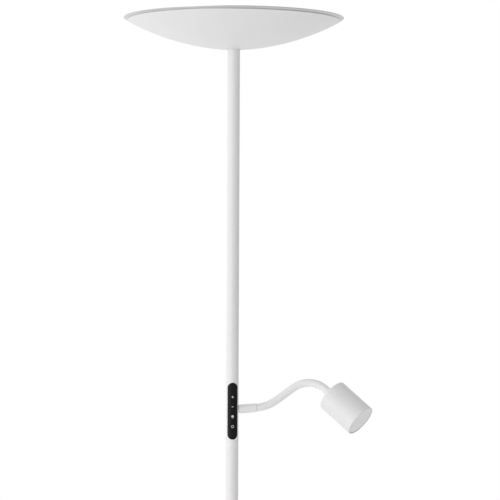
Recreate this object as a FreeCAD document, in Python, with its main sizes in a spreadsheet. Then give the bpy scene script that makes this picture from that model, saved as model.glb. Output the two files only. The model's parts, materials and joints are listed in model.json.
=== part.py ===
import FreeCAD, Part
import math
import os
import re
import Sketcher

# A floor lamp that throws its light at the ceiling from a shallow dish, with a touch
# panel in the pole and a small reading head on a flexible arm. Millimetres, +Z up.
# The origin is the centre of the base's underside. The panel faces -Y and the arm
# leaves the pole towards +X.

V = FreeCAD.Vector

# ------------------------------------------------------------------ driving sizes

SIZES = {
    # base
    "base_diameter": 260.0,
    "pad_thickness": 2.0,
    "pad_inset": 4.0,
    "weight_height": 15.0,
    "weight_inset": 0.3,
    "weight_pocket_diameter": 40.0,
    "weight_pocket_depth": 4.5,
    "cover_wall": 1.2,
    "cover_edge_radius": 4.0,
    "cover_lift": 1.0,
    "foot_diameter": 32.0,
    "foot_height": 9.0,
    "foot_chamfer": 3.0,
    # lead inlet in the base's rear edge
    "inlet_height": 8.5,
    "inlet_bore": 6.6,
    "inlet_neck_wall": 1.5,
    "inlet_flange_diameter": 12.0,
    "inlet_flange_thickness": 2.0,
    "inlet_notch_depth": 18.0,
    "lead_groove_width": 9.0,
    "lead_groove_height": 7.0,
    # pole
    "pole_outer": 19.0,
    "pole_wall": 1.0,
    "section_length": 435.7,
    "tube_chamfer": 0.25,
    "pole_seat_depth": 7.5,
    "insert_length": 18.0,
    "stud_outer": 14.0,
    "stud_wall": 1.2,
    "stud_inset": 1.0,
    "cable_diameter": 5.6,
    "cable_offset": 2.6,
    "nut_thickness": 3.5,
    "nut_flats": 19.0,
    "washer_thickness": 1.0,
    "washer_diameter": 30.0,
    # touch panel
    "panel_below_joint": 114.4,
    "panel_width": 14.9,
    "panel_length": 86.0,
    "panel_proud": 0.5,
    "panel_front_radius": 11.0,
    "panel_back": 5.0,
    "symbol_pitch": 15.0,
    "symbols_drop": 0.9,
    "plus_size": 3.6,
    "minus_size": 3.0,
    "lamp_size": 4.6,
    "ring_size": 4.2,
    "symbol_stroke": 0.8,
    "ring_stroke": 0.6,
    "symbol_depth": 0.4,
    "symbol_proud": 0.05,
    "symbol_spare": 1.0,
    "lamp_foot_reach": 1.4,
    "shade_bottom": 0.5,
    "shade_top_reach": 1.15,
    "board_width": 9.0,
    "board_length": 78.0,
    "board_thickness": 1.2,
    "carrier_length": 95.0,
    "carrier_depth": 4.4,
    # arm root
    "arm_above_panel": 1.7,
    "arm_root_lift": 4.4,
    "arm_stud_outer": 7.0,
    "arm_bore": 3.0,
    "arm_nut_diameter": 9.4,
    "arm_nut_back": 5.3,
    "saddle_diameter": 9.4,
    "collar_rear": 10.3,
    "collar_front": 36.6,
    "collar_outer": 13.5,
    "collar_chamfer": 0.4,
    # flexible arm
    "arm_start": 37.8,
    "arm_length": 131.4,
    "link_outer": 11.0,
    "socket_wall": 1.6,
    "socket_lip": 1.2,
    "link_neck": 4.4,
    "link_tilt": 30.0,
    "lift_start": 4.6,
    "lift_peak": 36.7,
    "lift_end": -37.2,
    "turn_end": -33.9,
    "climb_end": 0.242,
    "fall_start": 0.49,
    "fall_end": 0.891,
    "turn_start": 0.3,
    # reading head
    "head_outer": 50.3,
    "head_length": 62.7,
    "head_wall": 1.6,
    "head_back_wall": 2.0,
    "head_back_radius": 3.0,
    "head_mouth_chamfer": 0.4,
    "head_stud_length": 8.0,
    "head_nut_diameter": 13.0,
    "head_nut_thickness": 4.0,
    "sink_rear": 12.0,
    "sink_core_diameter": 20.0,
    "sink_fin_thickness": 2.0,
    "sink_fin_pitch": 6.0,
    "head_board_thickness": 1.5,
    "head_board_diameter": 19.0,
    "head_chip_diameter": 9.0,
    "head_chip_height": 0.6,
    "head_screw_circle": 14.0,
    "lens_thickness": 2.4,
    "lens_recess": 1.0,
    "reflector_wall": 1.0,
    "reflector_throat": 22.0,
    # dish
    "dish_diameter": 334.7,
    "dish_depth": 47.6,
    "bead_height": 0.8,
    "bead_radius": 0.45,
    "rim_height": 3.8,
    "rim_reach": 5.85,
    "rim_edge": 0.8,
    "rim_lip": 0.5,
    "rim_groove": 0.4,
    "bowl_radius": 371.5,
    "bowl_wall": 1.2,
    "bowl_flat_diameter": 22.0,
    "diffuser_thickness": 2.4,
    "diffuser_recess": 0.2,
    "rim_land": 4.5,
    "rim_shelf_reach": 9.5,
    "rim_shelf_thickness": 1.6,
    "dish_washer_rise": 0.35,
    "dish_washer_thickness": 2.0,
    "dish_stud_spare": 1.5,
    "plate_height": 30.0,
    "plate_diameter": 220.0,
    "plate_thickness": 1.5,
    "standoff_diameter": 8.0,
    "standoff_circle": 176.0,
    "led_board_outer": 212.0,
    "led_board_inner": 116.0,
    "led_size": 3.5,
    "led_height": 0.8,
    "led_circle_inner": 138.0,
    "led_circle_outer": 196.0,
    "driver_diameter": 84.0,
    "driver_floor": 11.0,
    "driver_wall": 2.0,
    "driver_board_rise": 3.0,
    "transformer_width": 24.0,
    "transformer_height": 11.0,
    "capacitor_diameter": 9.0,
    "capacitor_height": 12.0,
    "component_circle": 44.0,
    # screws
    "screw_shank": 2.0,
    "screw_head": 4.0,
    "screw_head_height": 1.2,
    "screw_length": 7.0,
    # clearances
    "seat_gap": 0.1,
    "thread_gap": 0.05,
    "fit_gap": 0.15,
    "bore_gap": 0.3,
    "running_gap": 0.3,
}

SECTION_NAMES = ("bottom", "lower", "control", "top")
SYMBOL_NAMES = ("plus", "minus", "lamp", "ring")
JOINT_COUNT = 12
INNER_LED_COUNT = 18
OUTER_LED_COUNT = 26
STANDOFF_COUNT = 4
CAPACITOR_COUNT = 3
HEAD_SCREW_COUNT = 2
FIN_COUNT = 3
LEAST_CUT = 1.0  # cubic millimetres

doc = FreeCAD.newDocument("FloorLamp")
sheet = doc.addObject("Spreadsheet::Sheet", "Sizes")
for row, (size_name, size_value) in enumerate(SIZES.items(), start=1):
    sheet.set(f"A{row}", size_name)
    sheet.set(f"B{row}", str(size_value))
    sheet.setAlias(f"B{row}", size_name)
doc.recompute()


def bound(text):
    """The expression with every size's name looked up in the sheet."""
    def look_up(word):
        return "Sizes." + word.group() if word.group() in SIZES else word.group()
    return re.sub(r"[a-z]\w*", look_up, str(text))


def size(text):
    """The number that an expression of sizes stands for."""
    return float(sheet.evalExpression(bound(text)))


# Heights and radii that several pieces share, as expressions of the sizes above.
POLE_BOTTOM = "(pad_thickness + weight_height - pole_seat_depth)"
WEIGHT_TOP = "(pad_thickness + weight_height)"
COVER_TOP = f"({WEIGHT_TOP} + seat_gap + cover_wall)"
POLE_RADIUS = "(pole_outer / 2)"
TUBE_BORE = "(pole_outer / 2 - pole_wall)"
STUD_BORE = "(stud_outer / 2 - stud_wall)"
JOINT_3 = f"({POLE_BOTTOM} + 3 * section_length)"
PANEL_Z = f"({JOINT_3} - panel_below_joint)"
ARM_Z = f"({PANEL_Z} + arm_above_panel)"
DISH_BOTTOM = f"({POLE_BOTTOM} + 4 * section_length)"
DISH_TOP = f"({DISH_BOTTOM} + dish_depth)"
BOWL_TOP = f"({DISH_TOP} - rim_height)"
BOWL_EDGE = "(dish_diameter / 2 - rim_reach)"
PLATE_BOTTOM = f"({DISH_BOTTOM} + plate_height)"
PLATE_TOP = f"({PLATE_BOTTOM} + plate_thickness)"
LINK_PITCH = f"(arm_length / {JOINT_COUNT})"
BALL = "(link_outer / 2 - socket_wall - running_gap)"
SOCKET = "(link_outer / 2 - socket_wall)"
SHOULDER = "(socket_lip + link_outer / 2 * sin(link_tilt) + running_gap)"
PANEL_FRONT = f"({POLE_RADIUS} + panel_proud)"
HEAD_BORE = "(head_outer / 2 - head_wall)"

parts = []


# ------------------------------------------------------------------ building blocks

def keep(piece, name):
    """Name a finished sub-part and put it on the list of files to write."""
    piece.Label = name
    parts.append(piece)
    return piece


def sketch_in(body, role, name):
    """A new sketch on one of the body's own origin planes."""
    plane = next(item for item in body.Origin.OriginFeatures if item.Role == role)
    sketch = body.newObject("Sketcher::SketchObject", name)
    sketch.AttachmentSupport = (plane, [""])
    sketch.MapMode = "FlatFace"
    return sketch


def fix_point(sketch, edge, end, place):
    """Hold one end of an edge at a place given by two expressions."""
    for kind, text in zip(("DistanceX", "DistanceY"), place):
        index = sketch.addConstraint(Sketcher.Constraint(kind, -1, 1, edge, end, size(text)))
        sketch.setExpression(f"Constraints[{index}]", bound(text))


def arc_between(start, end, radius, side):
    """The shorter arc from start to end, turning left for side 1 and right for -1."""
    chord = end - start
    reach = math.sqrt(max(radius ** 2 - (chord.Length / 2) ** 2, 0.0))
    left = V(-chord.y, chord.x, 0) / chord.Length
    centre = (start + end) / 2 + left * (reach * side)
    first, last = (start, end) if side > 0 else (end, start)
    angles = [math.atan2(point.y - centre.y, point.x - centre.x) for point in (first, last)]
    return Part.ArcOfCircle(Part.Circle(centre, V(0, 0, 1), radius), *angles)


def draw_outline(sketch, corners, arcs=None):
    """Draw a closed outline. A corner is a pair of expressions, and arcs gives an
    edge, by the number of the corner it starts at, its radius and its side."""
    arcs = arcs or {}
    points = [V(size(x), size(y), 0) for x, y in corners]
    edges = []
    for number, start in enumerate(points):
        end = points[(number + 1) % len(points)]
        if number in arcs:
            radius, side = arcs[number]
            edge = sketch.addGeometry(arc_between(start, end, size(radius), side))
            edges.append((edge, 1, 2) if side > 0 else (edge, 2, 1))
        else:
            edge = sketch.addGeometry(Part.LineSegment(start, end))
            edges.append((edge, 1, 2))
    for number, (edge, first, last) in enumerate(edges):
        following, entry, _ = edges[(number + 1) % len(edges)]
        sketch.addConstraint(Sketcher.Constraint("Coincident", edge, last, following, entry))
    for (edge, first, last), corner in zip(edges, corners):
        fix_point(sketch, edge, first, corner)
    for number, (radius, side) in arcs.items():
        edge = edges[number][0]
        index = sketch.addConstraint(Sketcher.Constraint("Radius", edge, size(radius)))
        sketch.setExpression(f"Constraints[{index}]", bound(radius))


def turned(name, corners, arcs=None):
    """A body turned round its own Z axis from (radius, height) corners."""
    body = doc.addObject("PartDesign::Body", name)
    sketch = sketch_in(body, "XZ_Plane", name + "_outline")
    draw_outline(sketch, corners, arcs)
    turn = body.newObject("PartDesign::Revolution", name + "_turn")
    turn.Profile = sketch
    turn.ReferenceAxis = (sketch, ["V_Axis"])
    turn.Angle = 360.0
    body.Tip = turn
    return body


def tube(name, outer, inner, low, high):
    """A plain tube or ring between two heights, from two radii."""
    return turned(name, [(inner, low), (outer, low), (outer, high), (inner, high)])


def disc(name, radius, low, high):
    """A plain disc between two heights."""
    return turned(name, [("0", low), (radius, low), (radius, high), ("0", high)])


def raise_to(piece, height):
    """Stand a piece at a height on the lamp's axis."""
    piece.setExpression("Placement.Base.z", bound(height))
    return piece


def cylinder(name, radius, low, high, x="0", y="0"):
    """An upright cylinder between two heights."""
    piece = doc.addObject("Part::Cylinder", name)
    piece.setExpression("Radius", bound(radius))
    piece.setExpression("Height", bound(f"{high} - ({low})"))
    for axis, text in zip("xyz", (x, y, low)):
        piece.setExpression(f"Placement.Base.{axis}", bound(text))
    return piece


def box(name, low, high):
    """A box between two corners, each given by three expressions."""
    piece = doc.addObject("Part::Box", name)
    for side, first, last in zip(("Length", "Width", "Height"), low, high):
        piece.setExpression(side, bound(f"{last} - ({first})"))
    for axis, text in zip("xyz", low):
        piece.setExpression(f"Placement.Base.{axis}", bound(text))
    return piece


def cut(name, solid, *tools):
    """The solid with the tools taken out of it."""
    for number, tool in enumerate(tools):
        result = doc.addObject("Part::Cut", f"{name}_cut_{number}")
        result.Base = solid
        result.Tool = tool
        solid = result
    return solid


def common(name, first, second):
    """What two solids share."""
    result = doc.addObject("Part::Common", name)
    result.Base = first
    result.Tool = second
    return result


def group(name, pieces):
    """Several separate solids as one sub-part."""
    result = doc.addObject("Part::Compound", name)
    result.Links = pieces
    return result


def polar(radius, count, number, start=0.0):
    """The x and y expressions of one place of an even ring of places."""
    angle = math.radians(start + 360.0 * number / count)
    return f"{radius} * {math.cos(angle):.6f}", f"{radius} * {math.sin(angle):.6f}"


def hexagon_nut(name, flats, bore, low, high):
    """A six-sided nut, as a body padded from its hexagon with its bore pocketed."""
    body = doc.addObject("PartDesign::Body", name)
    corner = f"({flats} / sqrt(3))"
    corners = [polar(corner, 6, number) for number in range(6)]
    sketch = sketch_in(body, "XY_Plane", name + "_hexagon")
    draw_outline(sketch, corners)
    circle = sketch.addGeometry(Part.Circle(V(0, 0, 0), V(0, 0, 1), size(bore)))
    sketch.addConstraint(Sketcher.Constraint("Coincident", circle, 3, -1, 1))
    index = sketch.addConstraint(Sketcher.Constraint("Radius", circle, size(bore)))
    sketch.setExpression(f"Constraints[{index}]", bound(bore))
    pad = body.newObject("PartDesign::Pad", name + "_pad")
    pad.Profile = sketch
    pad.setExpression("Length", bound(f"{high} - ({low})"))
    body.Tip = pad
    return raise_to(body, low)


def slot_sketch(body, width, length, height):
    """An upright slot with round ends on the body's XZ plane, centred at a height."""
    sketch = sketch_in(body, "XZ_Plane", body.Name + "_slot")
    half = f"({width} / 2)"
    ends = [f"{height} - {length} / 2 + {half}", f"{height} + {length} / 2 - {half}"]
    low, high = V(0, size(ends[0]), 0), V(0, size(ends[1]), 0)
    across = V(size(half), 0, 0)
    bottom = sketch.addGeometry(arc_between(low - across, low + across, across.x, 1))
    right = sketch.addGeometry(Part.LineSegment(low + across, high + across))
    top = sketch.addGeometry(arc_between(high + across, high - across, across.x, 1))
    left = sketch.addGeometry(Part.LineSegment(high - across, low - across))
    loop = [bottom, right, top, left]
    for edge, following in zip(loop, loop[1:] + loop[:1]):
        sketch.addConstraint(Sketcher.Constraint("Tangent", edge, 2, following, 1))
    sketch.addConstraint(Sketcher.Constraint("Vertical", right))
    sketch.addConstraint(Sketcher.Constraint("Equal", bottom, top))
    fix_point(sketch, bottom, 3, ("0", ends[0]))
    index = sketch.addConstraint(Sketcher.Constraint("DistanceY", -1, 1, top, 3, high.y))
    sketch.setExpression(f"Constraints[{index}]", bound(ends[1]))
    index = sketch.addConstraint(Sketcher.Constraint("Radius", bottom, across.x))
    sketch.setExpression(f"Constraints[{index}]", bound(half))
    return sketch


def pad_forward(body, sketch, near, far):
    """Pad a sketch of the XZ plane towards -Y, from one distance to another."""
    pad = body.newObject("PartDesign::Pad", body.Name + "_pad")
    pad.Profile = sketch
    pad.setExpression("Length", bound(f"{far} - ({near})"))
    body.Tip = pad
    body.setExpression("Placement.Base.y", bound(f"-({near})"))
    return body


def must_shrink(body, feature, before):
    """Stop if a pocket has cut nothing."""
    doc.recompute()
    if feature.Shape.Volume > before - LEAST_CUT:
        raise RuntimeError(f"{feature.Name} of {body.Name} cuts nothing")


def screw(name, x, y, seat):
    """A pan-head screw that points down, its head seated at a height."""
    corners = [("0", "-screw_length"), ("screw_shank / 2", "-screw_length"),
               ("screw_shank / 2", "0"), ("screw_head / 2", "0"),
               ("screw_head / 2", "screw_head_height"), ("0", "screw_head_height")]
    body = turned(name, corners)
    for axis, text in zip("xyz", (x, y, seat)):
        body.setExpression(f"Placement.Base.{axis}", bound(text))
    return body


# ------------------------------------------------------------------ base

def make_base():
    """Weight, pad, cover, foot ring and the tube and nut that clamp them."""
    inner = "(base_diameter / 2 - cover_wall)"
    keep(disc("pad", "base_diameter / 2 - pad_inset", "0", "pad_thickness"), "base_pad")

    pocket_top = "(pad_thickness + weight_pocket_depth)"
    iron = turned("iron", [
        ("weight_pocket_diameter / 2", "pad_thickness"),
        (f"{inner} - weight_inset", "pad_thickness"),
        (f"{inner} - weight_inset", f"{WEIGHT_TOP} - cover_edge_radius"),
        (f"{inner} - cover_edge_radius", WEIGHT_TOP),
        (f"{POLE_RADIUS} + seat_gap", WEIGHT_TOP),
        (f"{POLE_RADIUS} + seat_gap", POLE_BOTTOM),
        ("stud_outer / 2 + seat_gap", POLE_BOTTOM),
        ("stud_outer / 2 + seat_gap", pocket_top),
        ("weight_pocket_diameter / 2", pocket_top)])
    half_notch = "(inlet_flange_diameter / 2 + bore_gap)"
    notch_start = "(base_diameter / 2 - inlet_notch_depth)"
    notch = box("inlet_notch", (f"-{half_notch}", notch_start, "0"),
                (half_notch, "base_diameter", f"inlet_height + {half_notch}"))
    groove = box("lead_groove", ("-lead_groove_width / 2", "washer_diameter / 2", "0"),
                 ("lead_groove_width / 2", "base_diameter",
                  "pad_thickness + lead_groove_height"))
    keep(cut("weight", iron, notch, groove), "base_weight")

    edge = "base_diameter / 2 - cover_edge_radius"
    shell = turned("cover_shell", [
        (inner, "cover_lift"),
        ("base_diameter / 2", "cover_lift"),
        ("base_diameter / 2", f"{COVER_TOP} - cover_edge_radius"),
        (edge, COVER_TOP),
        (f"{POLE_RADIUS} + fit_gap", COVER_TOP),
        (f"{POLE_RADIUS} + fit_gap", f"{COVER_TOP} - cover_wall"),
        (edge, f"{COVER_TOP} - cover_wall"),
        (inner, f"{COVER_TOP} - cover_edge_radius")],
        {2: ("cover_edge_radius", 1), 6: ("cover_edge_radius - cover_wall", -1)})
    neck = "(inlet_bore / 2 + inlet_neck_wall)"
    hole = across_y("inlet_hole", f"{neck} + seat_gap", "base_diameter / 2 - 2 * cover_wall",
                    "base_diameter / 2 + cover_wall", "inlet_height")
    keep(cut("cover", shell, hole), "base_cover")

    bush_start = "(base_diameter / 2 - cover_wall - bore_gap - inlet_flange_thickness)"
    bush_end = "(base_diameter / 2 + bore_gap + inlet_flange_thickness)"
    bush = turned("bush", [
        ("inlet_bore / 2", bush_start),
        ("inlet_flange_diameter / 2", bush_start),
        ("inlet_flange_diameter / 2", f"{bush_start} + inlet_flange_thickness"),
        (neck, f"{bush_start} + inlet_flange_thickness"),
        (neck, f"{bush_end} - inlet_flange_thickness"),
        ("inlet_flange_diameter / 2", f"{bush_end} - inlet_flange_thickness"),
        ("inlet_flange_diameter / 2 - inlet_flange_thickness / 2", bush_end),
        ("inlet_bore / 2", bush_end)])
    bush.Placement.Rotation = FreeCAD.Rotation(V(1, 0, 0), -90)
    keep(raise_to(bush, "inlet_height"), "cable_inlet")

    stem_bottom = "(pad_thickness + seat_gap)"
    keep(tube("stem", "stud_outer / 2", STUD_BORE, stem_bottom,
              f"{POLE_BOTTOM} + insert_length"), "base_stem")
    washer_low = f"({pocket_top} - washer_thickness)"
    keep(tube("stem_washer", "washer_diameter / 2", "stud_outer / 2 + thread_gap",
              washer_low, pocket_top), "base_washer")
    keep(hexagon_nut("stem_nut", "nut_flats", "stud_outer / 2 + thread_gap",
                     f"{washer_low} - nut_thickness + seat_gap", washer_low), "base_nut")

    foot = turned("foot", [
        (f"{POLE_RADIUS} + fit_gap", COVER_TOP),
        ("foot_diameter / 2", COVER_TOP),
        ("foot_diameter / 2", f"{COVER_TOP} + foot_height - foot_chamfer"),
        ("foot_diameter / 2 - foot_chamfer", f"{COVER_TOP} + foot_height"),
        (f"{POLE_RADIUS} + fit_gap", f"{COVER_TOP} + foot_height")],
        {2: ("foot_chamfer", 1)})
    keep(foot, "pole_foot")


def across_y(name, radius, near, far, height):
    """A cylinder along +Y between two distances, at a height on the YZ plane."""
    piece = doc.addObject("Part::Cylinder", name)
    piece.setExpression("Radius", bound(radius))
    piece.setExpression("Height", bound(f"{far} - ({near})"))
    piece.Placement.Rotation = FreeCAD.Rotation(V(1, 0, 0), -90)
    piece.setExpression("Placement.Base.y", bound(near))
    piece.setExpression("Placement.Base.z", bound(height))
    return piece


# ------------------------------------------------------------------ pole

def make_pole():
    """Four tubes, the threaded inserts and studs that join them, and the wiring."""
    inserts = []
    for number, name in enumerate(SECTION_NAMES):
        bottom = f"({POLE_BOTTOM} + {number} * section_length)"
        section = turned(f"tube_{name}", [
            (TUBE_BORE, "0"), (f"{POLE_RADIUS} - tube_chamfer", "0"),
            (POLE_RADIUS, "tube_chamfer"), (POLE_RADIUS, "section_length - tube_chamfer"),
            (f"{POLE_RADIUS} - tube_chamfer", "section_length"),
            (TUBE_BORE, "section_length")])
        if name == "control":
            cut_windows(section, bottom)
        keep(raise_to(section, bottom), f"pole_section_{name}")
        for end, low in (("low", "0"), ("high", "section_length - insert_length")):
            insert = tube(f"insert_{name}_{end}", f"{TUBE_BORE} - thread_gap",
                          "stud_outer / 2 + thread_gap", "0", "insert_length")
            inserts.append(raise_to(insert, f"{bottom} + {low}"))
    keep(group("inserts", inserts), "pole_inserts")

    studs = []
    for joint in range(1, len(SECTION_NAMES)):
        stud = tube(f"stud_{joint}", "stud_outer / 2", STUD_BORE,
                    "stud_inset - insert_length", "insert_length - stud_inset")
        studs.append(raise_to(stud, f"{POLE_BOTTOM} + {joint} * section_length"))
    keep(group("studs", studs), "pole_studs")

    wiring = cylinder("wiring", "cable_diameter / 2", "pad_thickness + seat_gap",
                      f"{DISH_BOTTOM} + driver_floor", y="cable_offset")
    keep(wiring, "pole_cable")


def cut_windows(section, bottom):
    """The slot for the touch panel and the hole for the arm's stud."""
    doc.recompute()
    whole = section.Shape.Volume
    slot = section.newObject("PartDesign::Pocket", "panel_window")
    slot.Profile = slot_sketch(section, "(panel_width + 2 * fit_gap)",
                               "(panel_length + 2 * fit_gap)", f"({PANEL_Z} - {bottom})")
    slot.Type = "Length"
    slot.setExpression("Length", bound("pole_outer"))
    slot.Reversed = True
    section.Tip = slot
    must_shrink(section, slot, whole)

    windowed = slot.Shape.Volume
    sketch = sketch_in(section, "YZ_Plane", "arm_hole_circle")
    radius = "arm_stud_outer / 2 + bore_gap"
    middle = f"({TUBE_BORE} + {POLE_RADIUS}) / 2"
    height = f"{ARM_Z} - {bottom} + {middle} * tan(arm_root_lift)"
    circle = sketch.addGeometry(Part.Circle(V(0, size(height), 0), V(0, 0, 1), size(radius)))
    fix_point(sketch, circle, 3, ("0", height))
    index = sketch.addConstraint(Sketcher.Constraint("Radius", circle, size(radius)))
    sketch.setExpression(f"Constraints[{index}]", bound(radius))
    hole = section.newObject("PartDesign::Pocket", "arm_hole")
    hole.Profile = sketch
    hole.Type = "Length"
    hole.setExpression("Length", bound("pole_outer"))
    hole.Reversed = True
    section.Tip = hole
    must_shrink(section, hole, windowed)


# ------------------------------------------------------------------ touch panel

def symbol_height(number):
    """The height of one of the four symbols, counted from the top. Their row sits a
    little lower than the lens's middle."""
    middle = (len(SYMBOL_NAMES) - 1) / 2
    return f"({PANEL_Z} - symbols_drop + {middle - number} * symbol_pitch)"


def symbol_body(name, number, corners):
    """A symbol padded forward from its outline, given about its own centre."""
    body = doc.addObject("PartDesign::Body", name + "_body")
    sketch = sketch_in(body, "XZ_Plane", name + "_shape")
    height = symbol_height(number)
    draw_outline(sketch, [(x, f"{height} + {y}") for x, y in corners])
    return pad_forward(body, sketch, f"{PANEL_FRONT} - symbol_depth",
                       f"{PANEL_FRONT} + symbol_spare")


def ring_symbol_body(number):
    """The ring symbol, padded forward from two circles."""
    body = doc.addObject("PartDesign::Body", "ring_body")
    sketch = sketch_in(body, "XZ_Plane", "ring_shape")
    height = symbol_height(number)
    for radius in ("ring_size / 2", "ring_size / 2 - ring_stroke"):
        circle = sketch.addGeometry(
            Part.Circle(V(0, size(height), 0), V(0, 0, 1), size(radius)))
        fix_point(sketch, circle, 3, ("0", height))
        index = sketch.addConstraint(Sketcher.Constraint("Radius", circle, size(radius)))
        sketch.setExpression(f"Constraints[{index}]", bound(radius))
    return pad_forward(body, sketch, f"{PANEL_FRONT} - symbol_depth",
                       f"{PANEL_FRONT} + symbol_spare")


def make_panel():
    """The black lens with its four symbols, the board behind it and their cradle."""
    line, end = "symbol_stroke / 2", "minus_size / 2"
    bar = [(f"-{end}", f"-{line}"), (end, f"-{line}"), (end, line), (f"-{end}", line)]
    end = "plus_size / 2"
    cross = [(f"-{line}", f"-{end}"), (line, f"-{end}"), (line, f"-{line}"),
             (end, f"-{line}"), (end, line), (line, line), (line, end),
             (f"-{line}", end), (f"-{line}", line), (f"-{end}", line),
             (f"-{end}", f"-{line}"), (f"-{line}", f"-{line}")]
    reach = "lamp_size / 2"
    foot_top = f"-{reach} + {line}"
    lampshade = [("-lamp_foot_reach", f"-{reach}"), ("lamp_foot_reach", f"-{reach}"),
                 ("lamp_foot_reach", foot_top), (line, foot_top),
                 (line, "-shade_bottom"), (reach, "-shade_bottom"),
                 ("shade_top_reach", reach), ("-shade_top_reach", reach),
                 (f"-{reach}", "-shade_bottom"), (f"-{line}", "-shade_bottom"),
                 (f"-{line}", foot_top), ("-lamp_foot_reach", foot_top)]
    shapes = {"plus": cross, "minus": bar, "lamp": lampshade}
    tools = {}
    for number, name in enumerate(SYMBOL_NAMES):
        tools[name + "_symbol"] = (symbol_body(name, number, shapes[name])
                                   if name in shapes else ring_symbol_body(number))

    curve_centre = f"-({PANEL_FRONT} - panel_front_radius)"
    low, high = f"{PANEL_Z} - panel_length", f"{PANEL_Z} + panel_length"
    lens = doc.addObject("PartDesign::Body", "lens")
    outline = slot_sketch(lens, "panel_width", "panel_length", PANEL_Z)
    pad_forward(lens, outline, "panel_back", f"{PANEL_FRONT} + symbol_spare")
    front = cylinder("lens_front", "panel_front_radius", low, high, y=curve_centre)
    curved = common("curved_lens", lens, front)
    keep(cut("panel", curved, *tools.values()), "touch_panel")
    for name, tool in tools.items():
        skin = cylinder(name + "_skin", "panel_front_radius + symbol_proud", low, high,
                        y=curve_centre)
        keep(common(name + "_print", tool, skin), name)

    board_back = "-(panel_back - board_thickness)"
    board = box("control_board",
                ("-board_width / 2", "-panel_back", f"{PANEL_Z} - board_length / 2"),
                ("board_width / 2", board_back, f"{PANEL_Z} + board_length / 2"))
    keep(board, "touch_board")

    carrier_low = f"({PANEL_Z} - carrier_length / 2)"
    carrier_high = f"({PANEL_Z} + carrier_length / 2)"
    round_bar = cylinder("carrier_bar", f"{TUBE_BORE} - fit_gap", carrier_low, carrier_high)
    slab = box("carrier_slab", ("-pole_outer", "-panel_back", carrier_low),
               ("pole_outer", "carrier_depth - panel_back", carrier_high))
    recess = box("carrier_recess",
                 ("-board_width / 2 - fit_gap", "-2 * panel_back",
                  f"{PANEL_Z} - board_length / 2 - fit_gap"),
                 ("board_width / 2 + fit_gap", f"{board_back} + fit_gap",
                  f"{PANEL_Z} + board_length / 2 + fit_gap"))
    nut_room = along_arm(cylinder("nut_room", "arm_nut_diameter / 2 + 2 * bore_gap",
                                  "arm_nut_back - bore_gap", "pole_outer"))
    keep(cut("carrier", common("carrier_half", round_bar, slab), recess, nut_room),
         "panel_carrier")


# ------------------------------------------------------------------ arm

def along(piece, point, direction, offset=0.0):
    """Turn a piece's own Z axis along a direction, its origin at a point."""
    turn = FreeCAD.Rotation(V(0, 0, 1), direction)
    own = piece.Placement.Base + V(0, 0, offset)
    piece.Placement = FreeCAD.Placement(point + turn.multVec(own), turn)
    return piece


def slope(lift, turn=0.0):
    """The unit vector at a lift above the horizontal and a turn from +X towards +Y."""
    lift, turn = math.radians(lift), math.radians(turn)
    return V(math.cos(lift) * math.cos(turn), math.cos(lift) * math.sin(turn), math.sin(lift))


def along_arm(piece):
    """Lay a piece made about its own Z axis along the arm's root."""
    piece.setExpression("Placement.Base.z", None)
    doc.recompute()
    start = piece.Placement.Base.z
    piece.Placement.Base = V(0, 0, 0)
    return along(piece, V(0, 0, size(ARM_Z)), slope(size("arm_root_lift")), start)


def bend(share):
    """The arm's direction at a share of its length: it leaves the collar almost level,
    climbs in one arc, falls in a second one and turns to the front on its way."""
    climb_end, fall_start, fall_end = (size(n) for n in ("climb_end", "fall_start", "fall_end"))
    start, peak, end = (size(n) for n in ("lift_start", "lift_peak", "lift_end"))
    climb = min(share / climb_end, 1.0)
    fall = min(max((share - fall_start) / (fall_end - fall_start), 0.0), 1.0)
    turn = max((share - size("turn_start")) / (1.0 - size("turn_start")), 0.0)
    return slope(start + (peak - start) * climb + (end - peak) * fall, size("turn_end") * turn)


def arm_chain():
    """Where each joint of the flexible arm lies, and the direction of the link after it."""
    points = [V(0, 0, size(ARM_Z)) + slope(size("arm_root_lift")) * size("arm_start")]
    directions = []
    for joint in range(JOINT_COUNT):
        last = joint == JOINT_COUNT - 1
        directions.append(bend(1.0 if last else (joint + 0.5) / JOINT_COUNT))
        points.append(points[-1] + directions[-1] * size(LINK_PITCH))
    return points, directions


def ball_corners(centre):
    """The neck's top, and the ball's end at the wire bore, for a ball at a height."""
    neck, bore = "link_neck / 2", "arm_bore / 2"
    return [(neck, f"{centre} - sqrt({BALL}^2 - ({neck})^2)"),
            (bore, f"{centre} + sqrt({BALL}^2 - ({bore})^2)")]


def socket_corners():
    """The socket's outer lip and equator, and the cavity's end at the wire bore and lip."""
    outer, bore = "link_outer / 2", "arm_bore / 2"
    rim = [(f"sqrt(({outer})^2 - socket_lip^2)", "-socket_lip"), (outer, "0")]
    cavity = [(bore, f"sqrt({SOCKET}^2 - ({bore})^2)"),
              (f"sqrt({SOCKET}^2 - socket_lip^2)", "-socket_lip")]
    return rim, cavity


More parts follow.
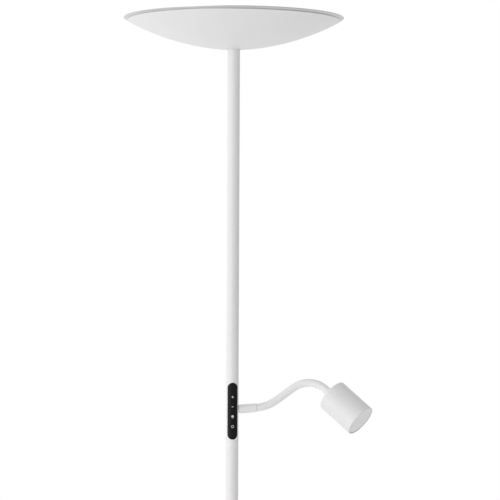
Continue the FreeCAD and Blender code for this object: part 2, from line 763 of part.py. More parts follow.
def make_arm_root():
    """The stud through the pole's wall, its nut and saddle, and the collar."""
    cup_floor = f"(arm_start - {SHOULDER})"
    stud = turned("arm_root_stud", [
        ("arm_bore / 2", "arm_nut_back"),
        ("arm_stud_outer / 2", "arm_nut_back"),
        ("arm_stud_outer / 2", cup_floor),
        ("link_neck / 2", cup_floor),
        *ball_corners("arm_start")], {4: (BALL, 1)})
    keep(along_arm(stud), "arm_stud")

    pole_bar = cylinder("saddle_pole", f"{POLE_RADIUS}", f"{ARM_Z} - pole_outer",
                        f"{ARM_Z} + pole_outer")
    blank = along_arm(tube("saddle_blank", "saddle_diameter / 2",
                           "arm_stud_outer / 2 + fit_gap", "arm_nut_back", "collar_rear"))
    keep(cut("saddle", blank, pole_bar), "arm_saddle")

    inner_bar = cylinder("nut_pole", f"{TUBE_BORE} - thread_gap", f"{ARM_Z} - pole_outer",
                         f"{ARM_Z} + pole_outer")
    nut = along_arm(tube("nut_blank", "arm_nut_diameter / 2",
                         "arm_stud_outer / 2 + thread_gap", "arm_nut_back", "pole_outer"))
    keep(common("shaped_nut", nut, inner_bar), "arm_nut")

    cup = "(link_outer / 2 + running_gap)"
    collar = turned("collar", [
        ("arm_stud_outer / 2 + fit_gap", "collar_rear"),
        ("collar_outer / 2 - collar_chamfer", "collar_rear"),
        ("collar_outer / 2", "collar_rear + collar_chamfer"),
        ("collar_outer / 2", "collar_front - collar_chamfer"),
        ("collar_outer / 2 - collar_chamfer", "collar_front"),
        (cup, "collar_front"),
        (cup, cup_floor),
        ("arm_stud_outer / 2 + fit_gap", cup_floor)])
    keep(along_arm(collar), "arm_collar")


def make_arm_links(points, directions):
    """Eleven links, each with a socket at its start and a ball at its end."""
    rim, cavity = socket_corners()
    shoulder = f"({LINK_PITCH} - {SHOULDER})"
    corners = [*rim, ("link_outer / 2", shoulder), ("link_neck / 2", shoulder),
               *ball_corners(LINK_PITCH), *cavity]
    arcs = {0: ("link_outer / 2", 1), 4: (BALL, 1), 6: (SOCKET, -1)}
    for number in range(JOINT_COUNT - 1):
        link = turned(f"link_{number + 1}", corners, arcs)
        along(link, points[number], directions[number])
        keep(link, f"arm_link_{number + 1:02d}")


# ------------------------------------------------------------------ reading head

def make_head(point, direction):
    """The head's pieces, made about their own Z axis from the last joint's centre."""
    back = LINK_PITCH
    mouth = f"({back} + head_length)"
    rim, cavity = socket_corners()
    stud_end = f"({back} + head_stud_length)"
    end = turned("end_fitting", [
        *rim, ("link_outer / 2", back), ("arm_stud_outer / 2", back),
        ("arm_stud_outer / 2", stud_end), ("arm_bore / 2", stud_end), *cavity],
        {0: ("link_outer / 2", 1), 6: (SOCKET, -1)})
    radius = "(head_outer / 2)"
    housing = turned("housing", [
        ("arm_stud_outer / 2 + fit_gap", back),
        (f"{radius} - head_back_radius", back),
        (radius, f"{back} + head_back_radius"),
        (radius, f"{mouth} - head_mouth_chamfer"),
        (f"{radius} - head_mouth_chamfer", mouth),
        (HEAD_BORE, mouth),
        (HEAD_BORE, f"{back} + head_back_wall"),
        ("arm_stud_outer / 2 + fit_gap", f"{back} + head_back_wall")],
        {1: ("head_back_radius", 1)})
    nut_low = f"({back} + head_back_wall)"
    nut = hexagon_nut("end_nut", "head_nut_diameter", "arm_stud_outer / 2 + thread_gap",
                      nut_low, f"{nut_low} + head_nut_thickness")

    sink_low = f"({back} + sink_rear)"
    face = f"({sink_low} + {FIN_COUNT - 1} * sink_fin_pitch + sink_fin_thickness)"
    core, fin = "sink_core_diameter / 2", f"{HEAD_BORE} - fit_gap"
    comb = [("arm_bore / 2", sink_low)]
    for number in range(FIN_COUNT):
        low = f"{sink_low} + {number} * sink_fin_pitch"
        comb += [(fin, low), (fin, f"{low} + sink_fin_thickness")]
        if number < FIN_COUNT - 1:
            comb += [(core, f"{low} + sink_fin_thickness"), (core, f"{low} + sink_fin_pitch")]
    comb.append(("arm_bore / 2", face))
    board_top = f"({face} + head_board_thickness)"
    holes, screws = [], []
    for number in range(HEAD_SCREW_COUNT):
        x, y = polar("head_screw_circle / 2", HEAD_SCREW_COUNT, number)
        holes.append(cylinder(f"head_hole_{number}", "screw_shank / 2 + thread_gap",
                              f"{board_top} - screw_length - seat_gap", mouth, x, y))
        screws.append(screw(f"head_screw_{number}", x, y, board_top))
    sink = cut("sink", turned("sink_comb", comb), *holes)
    board = cut("emitter_board", disc("emitter_disc", "head_board_diameter / 2", face,
                                      board_top), *holes)
    chip = disc("emitter", "head_chip_diameter / 2", board_top,
                f"{board_top} + head_chip_height")

    lens_low = f"({mouth} - lens_recess - lens_thickness)"
    throat = "(reflector_throat / 2)"
    cone_low = f"({face} + seat_gap)"
    cone_high = f"({lens_low} - reflector_wall)"
    flare = f"({HEAD_BORE} - fit_gap - reflector_wall)"
    reflector = turned("cone", [
        (throat, cone_low), (f"{throat} + reflector_wall", cone_low),
        (f"{flare} + reflector_wall", cone_high), (f"{flare} + reflector_wall", lens_low),
        (flare, lens_low), (flare, cone_high)])
    lens = disc("front_lens", f"{HEAD_BORE} - fit_gap", lens_low, f"{mouth} - lens_recess")

    pieces = {"arm_end": end, "head_housing": housing, "head_nut": nut,
              "head_heat_sink": sink, "head_led_board": board, "head_led": chip,
              "head_screws": group("head_screw_pair", screws),
              "head_reflector": reflector, "head_lens": lens}
    doc.recompute()
    for name, piece in pieces.items():
        if name == "head_nut":
            piece.setExpression("Placement.Base.z", None)
        keep(along(piece, point, direction), name)


# ------------------------------------------------------------------ dish

def make_dish():
    """The bowl, its ring and diffuser, and what clamps it to the pole."""
    flat = "(bowl_flat_diameter / 2)"
    stud_gap = "(stud_outer / 2 + thread_gap)"
    inner_floor = f"({DISH_BOTTOM} + bowl_wall)"
    bowl = turned("bowl", [
        (stud_gap, DISH_BOTTOM), (flat, DISH_BOTTOM), (BOWL_EDGE, f"{BOWL_TOP} - bead_height"),
        (BOWL_EDGE, BOWL_TOP), (f"{BOWL_EDGE} - bowl_wall", BOWL_TOP),
        (flat, inner_floor), (stud_gap, inner_floor)],
        {1: ("bowl_radius", 1), 2: ("bead_radius", 1), 4: ("bowl_radius - bowl_wall", -1)})
    keep(bowl, "dish_bowl")

    outer = "(dish_diameter / 2)"
    land = f"({outer} - rim_land)"
    shelf_edge = f"({outer} - rim_shelf_reach)"
    shelf_top = f"({DISH_TOP} - diffuser_recess - diffuser_thickness)"
    groove_wall, groove_top = f"({BOWL_EDGE} - rim_groove)", f"({BOWL_TOP} + rim_groove)"
    rim = turned("rim", [
        (groove_wall, BOWL_TOP), (groove_wall, groove_top), (BOWL_EDGE, groove_top),
        (f"{outer} - rim_lip", f"{DISH_TOP} - rim_edge"),
        (outer, f"{DISH_TOP} - rim_edge"), (outer, DISH_TOP),
        (land, DISH_TOP), (land, shelf_top), (shelf_edge, shelf_top),
        (shelf_edge, f"{shelf_top} - rim_shelf_thickness"),
        (f"{BOWL_EDGE} - bowl_wall", BOWL_TOP)])
    keep(rim, "dish_rim")
    keep(disc("diffuser", f"{land} - fit_gap", shelf_top, f"{DISH_TOP} - diffuser_recess"),
         "dish_diffuser")

    washer_low = f"({inner_floor} + dish_washer_rise)"
    washer_top = f"({washer_low} + dish_washer_thickness)"
    nut_top = f"({washer_top} + nut_thickness)"
    keep(tube("top_stud", "stud_outer / 2", STUD_BORE, f"{DISH_BOTTOM} - insert_length",
              f"{nut_top} + dish_stud_spare"), "dish_stud")
    keep(tube("top_washer", "washer_diameter / 2", stud_gap, washer_low, washer_top),
         "dish_washer")
    keep(hexagon_nut("top_nut", "nut_flats", stud_gap, washer_top, nut_top), "dish_nut")


def make_light_engine():
    """The plate on its posts, the LED board and LEDs, and the driver below."""
    cavity = turned("bowl_cavity", [
        ("0", f"{DISH_BOTTOM} + bowl_wall + seat_gap"),
        ("bowl_flat_diameter / 2", f"{DISH_BOTTOM} + bowl_wall + seat_gap"),
        (f"{BOWL_EDGE} - bowl_wall", f"{BOWL_TOP} + seat_gap"),
        ("0", f"{BOWL_TOP} + seat_gap")], {1: ("bowl_radius - bowl_wall", 1)})
    board_top = f"({PLATE_TOP} + board_thickness)"
    posts, holes, screws = [], [], []
    for number in range(STANDOFF_COUNT):
        x, y = polar("standoff_circle / 2", STANDOFF_COUNT, number, start=45.0)
        holes.append(cylinder(f"post_hole_{number}", "screw_shank / 2 + thread_gap",
                              f"{board_top} - screw_length - seat_gap", DISH_TOP, x, y))
        screws.append(screw(f"board_screw_{number}", x, y, board_top))
        bar = cylinder(f"post_bar_{number}", "standoff_diameter / 2", DISH_BOTTOM,
                       PLATE_BOTTOM, x, y)
        posts.append(cut(f"post_{number}", common(f"post_seat_{number}", bar, cavity),
                         holes[-1]))
    keep(group("posts", posts), "dish_standoffs")
    keep(group("screws", screws), "board_screws")
    keep(cut("plate", disc("plate_disc", "plate_diameter / 2", PLATE_BOTTOM, PLATE_TOP),
             *holes), "led_plate")
    keep(cut("ring_board", tube("board_ring", "led_board_outer / 2", "led_board_inner / 2",
                                PLATE_TOP, board_top), *holes), "led_board")

    leds = []
    for circle, count in (("led_circle_inner", INNER_LED_COUNT), ("led_circle_outer", OUTER_LED_COUNT)):
        for number in range(count):
            x, y = polar(f"{circle} / 2", count, number)
            leds.append(box(f"{circle}_{number}",
                            (f"{x} - led_size / 2", f"{y} - led_size / 2", board_top),
                            (f"{x} + led_size / 2", f"{y} + led_size / 2",
                             f"{board_top} + led_height")))
    keep(group("leds", leds), "uplight_leds")

    floor = f"({DISH_BOTTOM} + driver_floor)"
    outer = "(driver_diameter / 2)"
    case = turned("case", [
        ("0", floor), (outer, floor), (outer, PLATE_BOTTOM),
        (f"{outer} - driver_wall", PLATE_BOTTOM),
        (f"{outer} - driver_wall", f"{floor} + driver_wall + driver_board_rise"),
        (f"{outer} - 2 * driver_wall", f"{floor} + driver_wall + driver_board_rise"),
        (f"{outer} - 2 * driver_wall", f"{floor} + driver_wall"),
        ("0", f"{floor} + driver_wall")])
    keep(case, "driver_case")
    board_low = f"({floor} + driver_wall + driver_board_rise)"
    component_low = f"({board_low} + board_thickness)"
    keep(disc("driver_disc", f"{outer} - driver_wall - fit_gap", board_low, component_low),
         "driver_board")
    half = "transformer_width / 2"
    transformer = box("transformer", (f"-{half}", f"-{half}", component_low),
                      (half, half, f"{component_low} + transformer_height"))
    capacitors = []
    for number in range(CAPACITOR_COUNT):
        x, y = polar("component_circle / 2", CAPACITOR_COUNT, number, start=90.0)
        capacitors.append(cylinder(f"capacitor_{number}", "capacitor_diameter / 2",
                                   component_low, f"{component_low} + capacitor_height", x, y))
    keep(group("components", [transformer, *capacitors]), "driver_components")


# ------------------------------------------------------------------ assembly

def check_and_write():
    """Stop on any failed object or bad shape, then write one file for each sub-part."""
    doc.recompute()
    for item in doc.Objects:
        if "Invalid" in item.State or "Error" in item.State:
            raise RuntimeError(f"{item.Label} is {item.State}")
    for part in parts:
        if part.Shape.isNull() or not part.Shape.isValid() or not part.Shape.Solids:
            raise RuntimeError(f"{part.Label} has no valid solid")
    os.makedirs("parts", exist_ok=True)
    for part in parts:
        part.Shape.exportStep(f"parts/{part.Label}.step")
        print(part.Label, len(part.Shape.Solids), round(part.Shape.Volume, 1))


joint_points, link_directions = arm_chain()
make_base()
make_pole()
make_panel()
make_arm_root()
make_arm_links(joint_points, link_directions)
make_head(joint_points[JOINT_COUNT - 1], link_directions[-1])
make_dish()
make_light_engine()
check_and_write()
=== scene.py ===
import json
import math

import bmesh
import bpy
from mathutils import Matrix, Vector


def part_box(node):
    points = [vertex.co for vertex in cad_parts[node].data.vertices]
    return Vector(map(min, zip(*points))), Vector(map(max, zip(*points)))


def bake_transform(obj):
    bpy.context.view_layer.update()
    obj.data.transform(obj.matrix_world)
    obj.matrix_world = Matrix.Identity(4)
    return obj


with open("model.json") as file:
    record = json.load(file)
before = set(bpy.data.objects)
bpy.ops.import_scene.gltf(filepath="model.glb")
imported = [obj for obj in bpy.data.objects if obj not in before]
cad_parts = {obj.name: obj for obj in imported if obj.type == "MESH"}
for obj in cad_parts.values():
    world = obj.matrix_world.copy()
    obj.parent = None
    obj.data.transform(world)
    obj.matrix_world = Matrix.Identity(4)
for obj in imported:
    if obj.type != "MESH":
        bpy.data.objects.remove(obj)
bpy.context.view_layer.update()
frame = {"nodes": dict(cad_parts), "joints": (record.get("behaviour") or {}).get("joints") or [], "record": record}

# The looks of a floor lamp: a dish that lights the ceiling, a slim pole with a touch
# panel, and a small reading head on a flexible arm. Metres, in the CAD part's frame:
# X to the right, Y to the back, Z up from the floor.

MM = 0.001
FULL_WHITE = (1.0, 1.0, 1.0, 1.0)

# ------------------------------------------------------------------ camera and light

IMAGE_WIDTH = 500                      # pixels across the photograph
FOCAL_PIXELS = 2069.0                  # the lens's focal length in those pixels
SENSOR_WIDTH = 36.0                    # millimetres
CLIP_NEAR = 0.05
CLIP_FAR = 60.0
CAMERA_DISTANCE = 3.15                 # from the pole's axis
CAMERA_HEIGHT = 1.4513
CAMERA_AZIMUTH = math.radians(3.4)     # how far round to the left it stands
CAMERA_AIM = math.radians(0.473)       # how far right of the pole it looks
CAMERA_PITCH = math.radians(0.078)     # how far down it looks
CAMERA_ROLL = math.radians(0.24)       # the lamp leans this far clockwise in the picture

WORLD_LEVEL = 0.74                     # brightness of the white studio round the lamp
WORLD_SIDE = 0.31                      # how much darker its dark side is
WORLD_TURN = math.radians(25)          # how far from the right to the front that side lies
WORLD_BELOW = 0.30                     # how much brighter it gets towards the floor

LIGHT_TARGET = (0, 0, 1.45)            # on the pole, level with the camera
SOFTBOXES = (                          # name, place, width, watts
    ("key", (-2.7, -3.1, 1.4), 2.6, 25.0),     # in front on the left
    ("low", (-3.6, -1.4, 0.4), 1.6, 16.0),     # lower, and further round to the left
    ("fill", (3.4, -1.6, 0.35), 1.6, 4.0),     # weak and low, on the right
)


def make_camera():
    """A long lens, almost level, between the panel's height and the dish's."""
    data = bpy.data.cameras.new("photo_camera")
    data.sensor_width = SENSOR_WIDTH
    data.lens = SENSOR_WIDTH * FOCAL_PIXELS / IMAGE_WIDTH
    data.clip_start = CLIP_NEAR
    data.clip_end = CLIP_FAR
    camera = bpy.data.objects.new("photo_camera", data)
    bpy.context.scene.collection.objects.link(camera)
    place = Vector((-math.sin(CAMERA_AZIMUTH), -math.cos(CAMERA_AZIMUTH), 0)) * CAMERA_DISTANCE
    place.z = CAMERA_HEIGHT
    heading = CAMERA_AZIMUTH + CAMERA_AIM
    level = Vector((math.sin(heading), math.cos(heading), 0))
    up = Vector((0, 0, 1))
    forward = level * math.cos(CAMERA_PITCH) - up * math.sin(CAMERA_PITCH)
    right = forward.cross(up).normalized()
    upward = right.cross(forward)
    turned_right = right * math.cos(CAMERA_ROLL) + upward * math.sin(CAMERA_ROLL)
    turned_up = turned_right.cross(forward)
    turn = Matrix((turned_right, turned_up, -forward)).transposed().to_4x4()
    camera.matrix_world = Matrix.Translation(place) @ turn
    bpy.context.scene.camera = camera


def make_world():
    """A white studio that is darkest on the right and brighter from below. The camera
    itself sees plain white."""
    world = bpy.data.worlds.new("studio")
    bpy.context.scene.world = world
    world.use_nodes = True
    graph = Graph(world.node_tree)
    way = graph.add("ShaderNodeTexCoord")
    axes = graph.add("ShaderNodeSeparateXYZ")
    graph.join(way.outputs["Generated"], axes.inputs[0])
    across = -WORLD_SIDE * math.cos(WORLD_TURN)
    back = WORLD_SIDE * math.sin(WORLD_TURN)
    side = graph.math("MULTIPLY_ADD", axes.outputs["X"], across, WORLD_LEVEL)
    side = graph.math("MULTIPLY_ADD", axes.outputs["Y"], back, side)
    below = graph.math("MINIMUM", axes.outputs["Z"], 0.0)
    level = graph.math("MULTIPLY_ADD", below, -WORLD_BELOW, side)
    glow = graph.add("ShaderNodeBackground")
    white = graph.add("ShaderNodeBackground")
    for background in (glow, white):
        background.inputs["Color"].default_value = FULL_WHITE
    graph.join(level, glow.inputs["Strength"])
    rays = graph.add("ShaderNodeLightPath")
    mix = graph.add("ShaderNodeMixShader")
    graph.join(rays.outputs["Is Camera Ray"], mix.inputs[0])
    graph.join(glow.outputs[0], mix.inputs[1])
    graph.join(white.outputs[0], mix.inputs[2])
    graph.join(mix.outputs[0], graph.add("ShaderNodeOutputWorld").inputs["Surface"])


def softbox(name, place, width, energy):
    """A square soft light at a place, facing the lamp."""
    data = bpy.data.lights.new(name, "AREA")
    data.shape = "SQUARE"
    data.size = width
    data.energy = energy
    light = bpy.data.objects.new(name, data)
    bpy.context.scene.collection.objects.link(light)
    light.location = place
    facing = Vector(LIGHT_TARGET) - Vector(place)
    light.rotation_euler = facing.to_track_quat("-Z", "Y").to_euler()
    light.visible_camera = False


# ------------------------------------------------------------------ node graphs

MIX_SHARE, MIX_FIRST, MIX_SECOND = 0, 6, 7     # the inputs of a Mix node for colours
MIX_RESULT = 2                         # and its output
EDGE_START = 0.56                      # the pointiness at which an edge's painted highlight starts to show
EDGE_FULL = 0.7                        # and at which it shows in full
COAT_ROUGHNESS = 0.1                   # of the clear coat, where a finish has one


def shade(colour, factor):
    """A colour made lighter or darker by a factor."""
    return tuple(channel * factor for channel in colour)


class Graph:
    """A node tree that is emptied and built up node by node."""

    def __init__(self, tree):
        self.tree = tree
        tree.nodes.clear()

    def add(self, kind, **settings):
        node = self.tree.nodes.new(kind)
        for key, value in settings.items():
            setattr(node, key, value)
        return node

    def join(self, source, target):
        self.tree.links.new(source, target)

    def math(self, operation, *values):
        node = self.add("ShaderNodeMath", operation=operation)
        for number, value in enumerate(values):
            if isinstance(value, (int, float)):
                node.inputs[number].default_value = value
            else:
                self.join(value, node.inputs[number])
        return node.outputs[0]


class Finish(Graph):
    """A new material's graph. What stays constant on its shader is set here."""

    def __init__(self, name, metallic=0.0, specular=0.5, coat=0.0):
        self.material = bpy.data.materials.new(name)
        self.material.use_nodes = True
        super().__init__(self.material.node_tree)
        self.shader = self.add("ShaderNodeBsdfPrincipled")
        self.shader.inputs["Metallic"].default_value = metallic
        self.shader.inputs["Specular IOR Level"].default_value = specular
        self.shader.inputs["Coat Weight"].default_value = coat
        self.shader.inputs["Coat Roughness"].default_value = COAT_ROUGHNESS
        output = self.add("ShaderNodeOutputMaterial")
        self.join(self.shader.outputs[0], output.inputs["Surface"])

    def coordinates(self, stretch=(1, 1, 1)):
        """The piece's own coordinates in metres, squeezed along each axis by a factor."""
        place = self.add("ShaderNodeTexCoord")
        mapping = self.add("ShaderNodeMapping")
        mapping.inputs["Scale"].default_value = stretch
        self.join(place.outputs["Object"], mapping.inputs["Vector"])
        return mapping.outputs[0]

    def noise(self, size, detail=3.0, stretch=(1, 1, 1)):
        """Noise whose blotches are about as wide as a size in metres."""
        node = self.add("ShaderNodeTexNoise")
        node.inputs["Scale"].default_value = 1.0 / size
        node.inputs["Detail"].default_value = detail
        self.join(self.coordinates(stretch), node.inputs["Vector"])
        return node.outputs["Fac"]

    def cells(self, size, feature="F1"):
        """Rounded cells about as wide as a size in metres."""
        node = self.add("ShaderNodeTexVoronoi", feature=feature)
        node.inputs["Scale"].default_value = 1.0 / size
        self.join(self.coordinates(), node.inputs["Vector"])
        return node.outputs["Distance"]

    def spread(self, value, low, high, start=0.0, end=1.0):
        """The value's stretch from start to end, spread from low to high."""
        node = self.add("ShaderNodeMapRange")
        for key, number in (("From Min", start), ("From Max", end),
                            ("To Min", low), ("To Max", high)):
            node.inputs[key].default_value = number
        self.join(value, node.inputs["Value"])
        return node.outputs["Result"]

    def blend(self, share, first, second):
        """One colour turning into another by a share."""
        node = self.add("ShaderNodeMix", data_type="RGBA")
        self.join(share, node.inputs[MIX_SHARE])
        for number, colour in ((MIX_FIRST, first), (MIX_SECOND, second)):
            if isinstance(colour, tuple):
                node.inputs[number].default_value = (*colour, 1.0)
            else:
                self.join(colour, node.inputs[number])
        return node.outputs[MIX_RESULT]

    def shades(self, share, colour, low, high):
        """A colour times a factor that goes from low to high by a share."""
        return self.blend(share, shade(colour, low), shade(colour, high))

    def worn_and_lit_edges(self, tint, colour, factor):
        """A tint that turns into the colour times a factor on sharp outer edges: a painted highlight, and on the
        cast iron also bare metal where its paint is worn.
        """
        pointiness = self.add("ShaderNodeNewGeometry").outputs["Pointiness"]
        edges = self.spread(pointiness, 0.0, 1.0, EDGE_START, EDGE_FULL)
        return self.blend(edges, tint, shade(colour, factor))

    def bump(self, height, depth, under=None):
        """A relief of a depth in metres, on top of another relief."""
        node = self.add("ShaderNodeBump")
        node.inputs["Strength"].default_value = 1.0
        node.inputs["Distance"].default_value = depth
        self.join(height, node.inputs["Height"])
        if under is not None:
            self.join(under, node.inputs["Normal"])
        return node.outputs["Normal"]

    def cover(self, tint, roughness, relief):
        """Join the shader's colour, roughness and relief, and hand over the material."""
        self.join(tint, self.shader.inputs["Base Color"])
        self.join(roughness, self.shader.inputs["Roughness"])
        self.join(relief, self.shader.inputs["Normal"])
        return self.material


# ------------------------------------------------------------------ finishes

WHITE = (0.79, 0.79, 0.798)            # the lamp's paint
RUST = (0.16, 0.09, 0.06)
DUST = (0.10, 0.10, 0.10)


def powder_coat(name, colour, roughness=0.36):
    """Sprayed and baked paint: orange peel, faint clouds, and a painted highlight along the edges."""
    finish = Finish(name, specular=0.4)
    peel = finish.noise(1.1 * MM, detail=2.0)
    cloud = finish.noise(60 * MM)
    speck = finish.noise(0.25 * MM, detail=1.0)
    tint = finish.shades(cloud, colour, 0.985, 1.015)
    tint = finish.worn_and_lit_edges(tint, colour, 1.05)
    shine = finish.spread(cloud, roughness - 0.04, roughness + 0.05)
    relief = finish.bump(peel, 0.012 * MM)
    return finish.cover(tint, shine, finish.bump(speck, 0.004 * MM, under=relief))


def moulded_plastic(name, colour, roughness=0.5, grain=0.3 * MM, depth=0.01 * MM):
    """Moulded plastic with a spark-eroded grain and a painted highlight along the edges."""
    finish = Finish(name, specular=0.4)
    grains = finish.cells(grain)
    cloud = finish.noise(15 * MM)
    tint = finish.shades(cloud, colour, 0.97, 1.03)
    tint = finish.worn_and_lit_edges(tint, colour, 1.12)
    shine = finish.spread(grains, roughness - 0.06, roughness + 0.08)
    return finish.cover(tint, shine, finish.bump(grains, depth))


def turned_metal(name, colour, roughness=0.32):
    """Turned or plated metal: fine rings round the upright axis, and a few stains."""
    finish = Finish(name, metallic=1.0)
    rings = finish.noise(0.5 * MM, detail=2.0, stretch=(0.15, 0.15, 1.0))
    stain = finish.noise(8 * MM)
    tint = finish.shades(stain, colour, 0.9, 1.04)
    # its edges get a painted highlight
    tint = finish.worn_and_lit_edges(tint, colour, 1.15)
    shine = finish.spread(rings, roughness - 0.08, roughness + 0.12)
    return finish.cover(tint, shine, finish.bump(rings, 0.008 * MM))


def satin_metal(name, colour, roughness=0.34):
    """A spun metal ring under a dull lacquer: fine grooves and a soft cloudy shine."""
    finish = Finish(name, metallic=0.85)
    grooves = finish.noise(0.4 * MM, detail=2.0, stretch=(0.2, 0.2, 1.0))
    cloud = finish.noise(40 * MM)
    tint = finish.shades(cloud, colour, 0.97, 1.03)
    shine = finish.spread(grooves, roughness - 0.05, roughness + 0.08)
    return finish.cover(tint, shine, finish.bump(grooves, 0.006 * MM))


def rubber(name, colour):
    """Moulded rubber: matt, finely pitted, with faint dusty patches."""
    finish = Finish(name, specular=0.25)
    pits = finish.noise(0.4 * MM)
    dust = finish.noise(12 * MM)
    tint = finish.shades(dust, colour, 0.93, 1.05)
    shine = finish.spread(pits, 0.62, 0.8)
    return finish.cover(tint, shine, finish.bump(pits, 0.02 * MM))


def foam(name, colour):
    """Closed-cell foam: small open pores on a cut face, with painted shade in the pores."""
    finish = Finish(name, specular=0.15)
    pores = finish.cells(0.8 * MM)
    # painted shade: the pores are darker where their relief is lowest
    tint = finish.shades(pores, colour, 0.55, 1.2)
    shine = finish.spread(pores, 0.95, 0.8)
    return finish.cover(tint, shine, finish.bump(pores, 0.15 * MM))


def cast_iron(name, colour):
    """A rough casting under a thin dark paint, a little rusty, paler on its edges."""
    finish = Finish(name, specular=0.35)
    sand = finish.noise(1.6 * MM, detail=6.0)
    blotches = finish.noise(22 * MM, detail=5.0)
    rusty = finish.spread(blotches, 0.0, 0.5, 0.55, 0.75)
    tint = finish.worn_and_lit_edges(finish.blend(rusty, colour, RUST), colour, 1.6)
    shine = finish.spread(sand, 0.55, 0.8)
    return finish.cover(tint, shine, finish.bump(sand, 0.25 * MM))


def cable_jacket(name, colour):
    """Extruded PVC: long soft ripples along the lead and a dull skin."""
    finish = Finish(name, specular=0.35)
    ripple = finish.noise(2.5 * MM, stretch=(1.0, 1.0, 0.1))
    tint = finish.shades(ripple, colour, 0.96, 1.03)
    shine = finish.spread(ripple, 0.45, 0.6)
    return finish.cover(tint, shine, finish.bump(ripple, 0.05 * MM))


def touch_lens(name, colour):
    """Gloss black acrylic with hairline wipe marks and the odd grain of dust."""
    finish = Finish(name, specular=0.1)
    wipes = finish.noise(0.6 * MM, stretch=(1.0, 1.0, 0.12))
    grains = finish.noise(0.35 * MM, detail=0.0)
    dusty = finish.spread(grains, 0.0, 0.6, 0.72, 0.8)
    tint = finish.blend(dusty, colour, DUST)
    shine = finish.spread(wipes, 0.16, 0.3)
    return finish.cover(tint, shine, finish.bump(wipes, 0.002 * MM))


def printed_ink(name, colour):
    """Screen-printed ink: a fine mesh of dots left by the screen."""
    finish = Finish(name, specular=0.3)
    dots = finish.cells(0.18 * MM)
    tint = finish.shades(dots, colour, 0.86, 1.06)
    shine = finish.spread(dots, 0.5, 0.65)
    return finish.cover(tint, shine, finish.bump(dots, 0.01 * MM))


def circuit_board(name, colour):
    """Solder resist over copper tracks, which show as a paler raised net."""
    finish = Finish(name, coat=0.3)
    walls = finish.cells(4 * MM, feature="DISTANCE_TO_EDGE")
    track = finish.spread(walls, 1.0, 0.0, 0.05, 0.09)
    cloud = finish.noise(3 * MM)
    tint = finish.blend(track, finish.shades(cloud, colour, 0.85, 1.1), shade(colour, 1.8))
    shine = finish.spread(cloud, 0.3, 0.45)
    return finish.cover(tint, shine, finish.bump(track, 0.035 * MM))


def frosted_lens(name, colour):
    """Etched acrylic: an even sparkle of tiny facets under a matt skin."""
    finish = Finish(name, specular=0.35)
    etch = finish.cells(0.22 * MM)
    haze = finish.noise(9 * MM)
    tint = finish.shades(haze, colour, 0.98, 1.02)
    shine = finish.spread(etch, 0.5, 0.68)
    return finish.cover(tint, shine, finish.bump(etch, 0.012 * MM))


def opal_acrylic(name, colour):
    """Milky acrylic sheet: a satin face that is very slightly cloudy and wavy."""
    finish = Finish(name, specular=0.4)
    satin = finish.noise(0.4 * MM, detail=1.0)
    haze = finish.noise(70 * MM)
    tint = finish.shades(haze, colour, 0.985, 1.01)
    shine = finish.spread(satin, 0.4, 0.5)
    return finish.cover(tint, shine, finish.bump(haze, 0.1 * MM))


def sleeve_vinyl(name, colour):
    """The flexible arm's smooth vinyl sleeve: a fine skin and faint clouds."""
    finish = Finish(name, specular=0.35)
    skin = finish.noise(0.5 * MM)
    cloud = finish.noise(20 * MM)
    tint = finish.shades(cloud, colour, 0.98, 1.015)
    shine = finish.spread(skin, 0.46, 0.6)
    return finish.cover(tint, shine, finish.bump(skin, 0.008 * MM))


def phosphor(name, colour):
    """The yellow gel over an LED chip, a little uneven."""
    finish = Finish(name, coat=0.4)
    gel = finish.noise(0.5 * MM)
    tint = finish.shades(gel, colour, 0.9, 1.05)
    shine = finish.spread(gel, 0.3, 0.5)
    return finish.cover(tint, shine, finish.bump(gel, 0.03 * MM))


def painted_floor(name, colour):
    """A pale studio floor: fine plaster grain and very faint clouds. It glows a little,
    as a light table does, which softens the shadows underneath things."""
    finish = Finish(name, specular=0.2)
    finish.shader.inputs["Emission Color"].default_value = FULL_WHITE
    finish.shader.inputs["Emission Strength"].default_value = FLOOR_GLOW
    cloud = finish.noise(0.7)
    grain = finish.noise(3 * MM)
    tint = finish.shades(cloud, colour, 0.985, 1.01)
    shine = finish.spread(grain, 0.6, 0.75)
    return finish.cover(tint, shine, finish.bump(grain, 0.03 * MM))


# The finish of each of the record's material slots.
FINISHES = {
    "foam": (foam, (0.05, 0.05, 0.05)),
    "iron": (cast_iron, (0.09, 0.09, 0.095)),
    "white_coat": (powder_coat, WHITE),
    "bush_rubber": (rubber, (0.72, 0.72, 0.72)),
    "zinc_steel": (turned_metal, (0.62, 0.62, 0.64)),
    "brass": (turned_metal, (0.72, 0.54, 0.25)),
    "cable_jacket": (cable_jacket, (0.74, 0.74, 0.72)),
    "black_lens": (touch_lens, (0.009, 0.009, 0.0095)),
    "symbol_ink": (printed_ink, (0.68, 0.68, 0.69)),
    "circuit_board": (circuit_board, (0.03, 0.13, 0.06)),
    "cradle_plastic": (moulded_plastic, (0.03, 0.03, 0.03)),
    "collar_coat": (powder_coat, shade(WHITE, 1.05)),
    "sleeve_white": (sleeve_vinyl, shade(WHITE, 1.07)),
    "head_coat": (powder_coat, WHITE),
    "raw_aluminium": (turned_metal, (0.78, 0.78, 0.79)),
    "white_board": (moulded_plastic, (0.82, 0.82, 0.80)),
    "led_phosphor": (phosphor, (0.86, 0.68, 0.12)),
    "reflector_white": (moulded_plastic, (0.84, 0.84, 0.84)),
    "frosted_lens": (frosted_lens, (0.85, 0.85, 0.865)),
    "rim_grey": (satin_metal, (0.64, 0.64, 0.645)),
    "opal": (opal_acrylic, (0.84, 0.84, 0.83)),
    "case_plastic": (moulded_plastic, (0.03, 0.03, 0.032)),
}


def dress_nodes():
    """Give every CAD node the finish that its slot in the record asks for."""
    made = {slot: build(slot, colour) for slot, (build, colour) in FINISHES.items()}
    for row in frame["record"]["subparts"]:
        piece = frame["nodes"][row["node"]]
        if not piece.material_slots:
            piece.data.materials.append(None)
        for slot in piece.material_slots:
            slot.material = made[row["material_slot"]]
    return made


# ------------------------------------------------------------------ added pieces

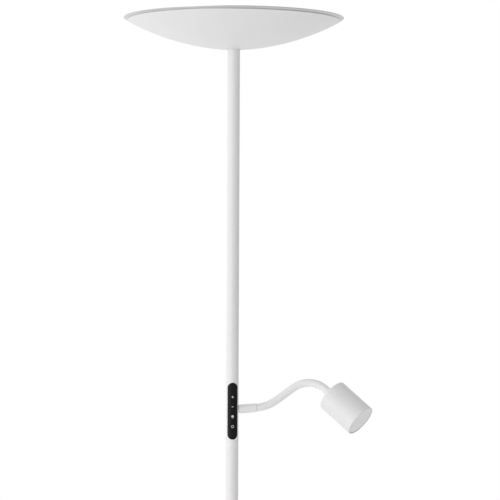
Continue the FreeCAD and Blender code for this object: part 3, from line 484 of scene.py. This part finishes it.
SLEEVE_RADIUS = 5.95 * MM
SLEEVE_SIDES = 56
SLEEVE_STEPS = 12                      # bands of faces along each stretch of the sleeve
COLLAR_TO_JOINT = 1.2 * MM             # the sleeve starts this far before the first joint
TUCK = (0.7 * MM, 0.25 * MM)           # how far the first rings draw in, at the collar

FLOOR_RADIUS = 3.2
FLOOR_SIDES = 96
FLOOR_DROP = 0.0002                    # the floor lies this far under the foam pad
FLOOR_WHITE = (0.94, 0.94, 0.94)
FLOOR_GLOW = 0.065                     # how strongly it shines by itself


def mesh_piece(name, bm, material):
    """A smooth-shaded object from a finished bmesh."""
    bmesh.ops.recalc_face_normals(bm, faces=bm.faces)
    mesh = bpy.data.meshes.new(name)
    bm.to_mesh(mesh)
    bm.free()
    for face in mesh.polygons:
        face.use_smooth = True
    mesh.materials.append(material)
    piece = bpy.data.objects.new(name, mesh)
    bpy.context.scene.collection.objects.link(piece)
    return piece


def middle(node):
    """The middle of a node's box."""
    low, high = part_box(node)
    return (Vector(low) + Vector(high)) / 2


def bent_tube(name, start, corner, end, material, tuck):
    """A round tube along a curve that leaves start towards the corner and reaches end.
    Its first rings draw in as far as tuck says."""
    side = (corner - start).cross(Vector((0, 0, 1))).normalized()
    bm = bmesh.new()
    rings = []
    for step in range(SLEEVE_STEPS + 1):
        share = step / SLEEVE_STEPS
        centre = (start * (1 - share) ** 2 + corner * (2 * share * (1 - share))
                  + end * share ** 2)
        along = ((corner - start) * (1 - share) + (end - corner) * share).normalized()
        across = (side - along * side.dot(along)).normalized()
        other = along.cross(across)
        radius = SLEEVE_RADIUS - (tuck[step] if step < len(tuck) else 0)
        ring = []
        for number in range(SLEEVE_SIDES):
            angle = 2 * math.pi * number / SLEEVE_SIDES
            ring.append(bm.verts.new(centre + radius * (
                across * math.cos(angle) + other * math.sin(angle))))
        rings.append(ring)
    for first, second in zip(rings, rings[1:]):
        for number in range(SLEEVE_SIDES):
            following = (number + 1) % SLEEVE_SIDES
            bm.faces.new((first[number], first[following], second[following], second[number]))
    return mesh_piece(name, bm, material)


def make_sleeve(material):
    """The arm's smooth sleeve, one stretch for each joint. The stretches meet in the middle
    of the links. The first starts at the collar, and the last runs on to the head."""
    joints = frame["joints"]
    corners = [Vector(joint["pos_m"]) for joint in joints]
    pitch = (corners[1] - corners[0]).length
    root = (corners[0] - middle("arm_collar")).normalized()
    tip = (middle("head_lens") - corners[-1]).normalized()
    starts = [corners[0] - root * COLLAR_TO_JOINT]
    starts += [(a + b) / 2 for a, b in zip(corners, corners[1:])]
    ends = starts[1:] + [corners[-1] + tip * pitch]
    for number, joint in enumerate(joints):
        start, corner, end = starts[number], corners[number], ends[number]
        tuck = () if number else TUCK
        stretch = bent_tube(f"sleeve_{number + 1:02d}", start, corner, end, material, tuck)
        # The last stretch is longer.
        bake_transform(stretch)


def make_floor():
    """A plain pale disc under the lamp."""
    bm = bmesh.new()
    bmesh.ops.create_circle(bm, cap_ends=True, segments=FLOOR_SIDES, radius=FLOOR_RADIUS)
    floor = mesh_piece("floor", bm, painted_floor("floor_paint", FLOOR_WHITE))
    floor.location.z = -FLOOR_DROP


# ------------------------------------------------------------------ the scene

bpy.context.scene.view_settings.view_transform = "Standard"
make_camera()
make_world()
for light_name, light_place, light_width, light_energy in SOFTBOXES:
    softbox(light_name, light_place, light_width, light_energy)
materials = dress_nodes()
make_sleeve(materials["sleeve_white"])
make_floor()
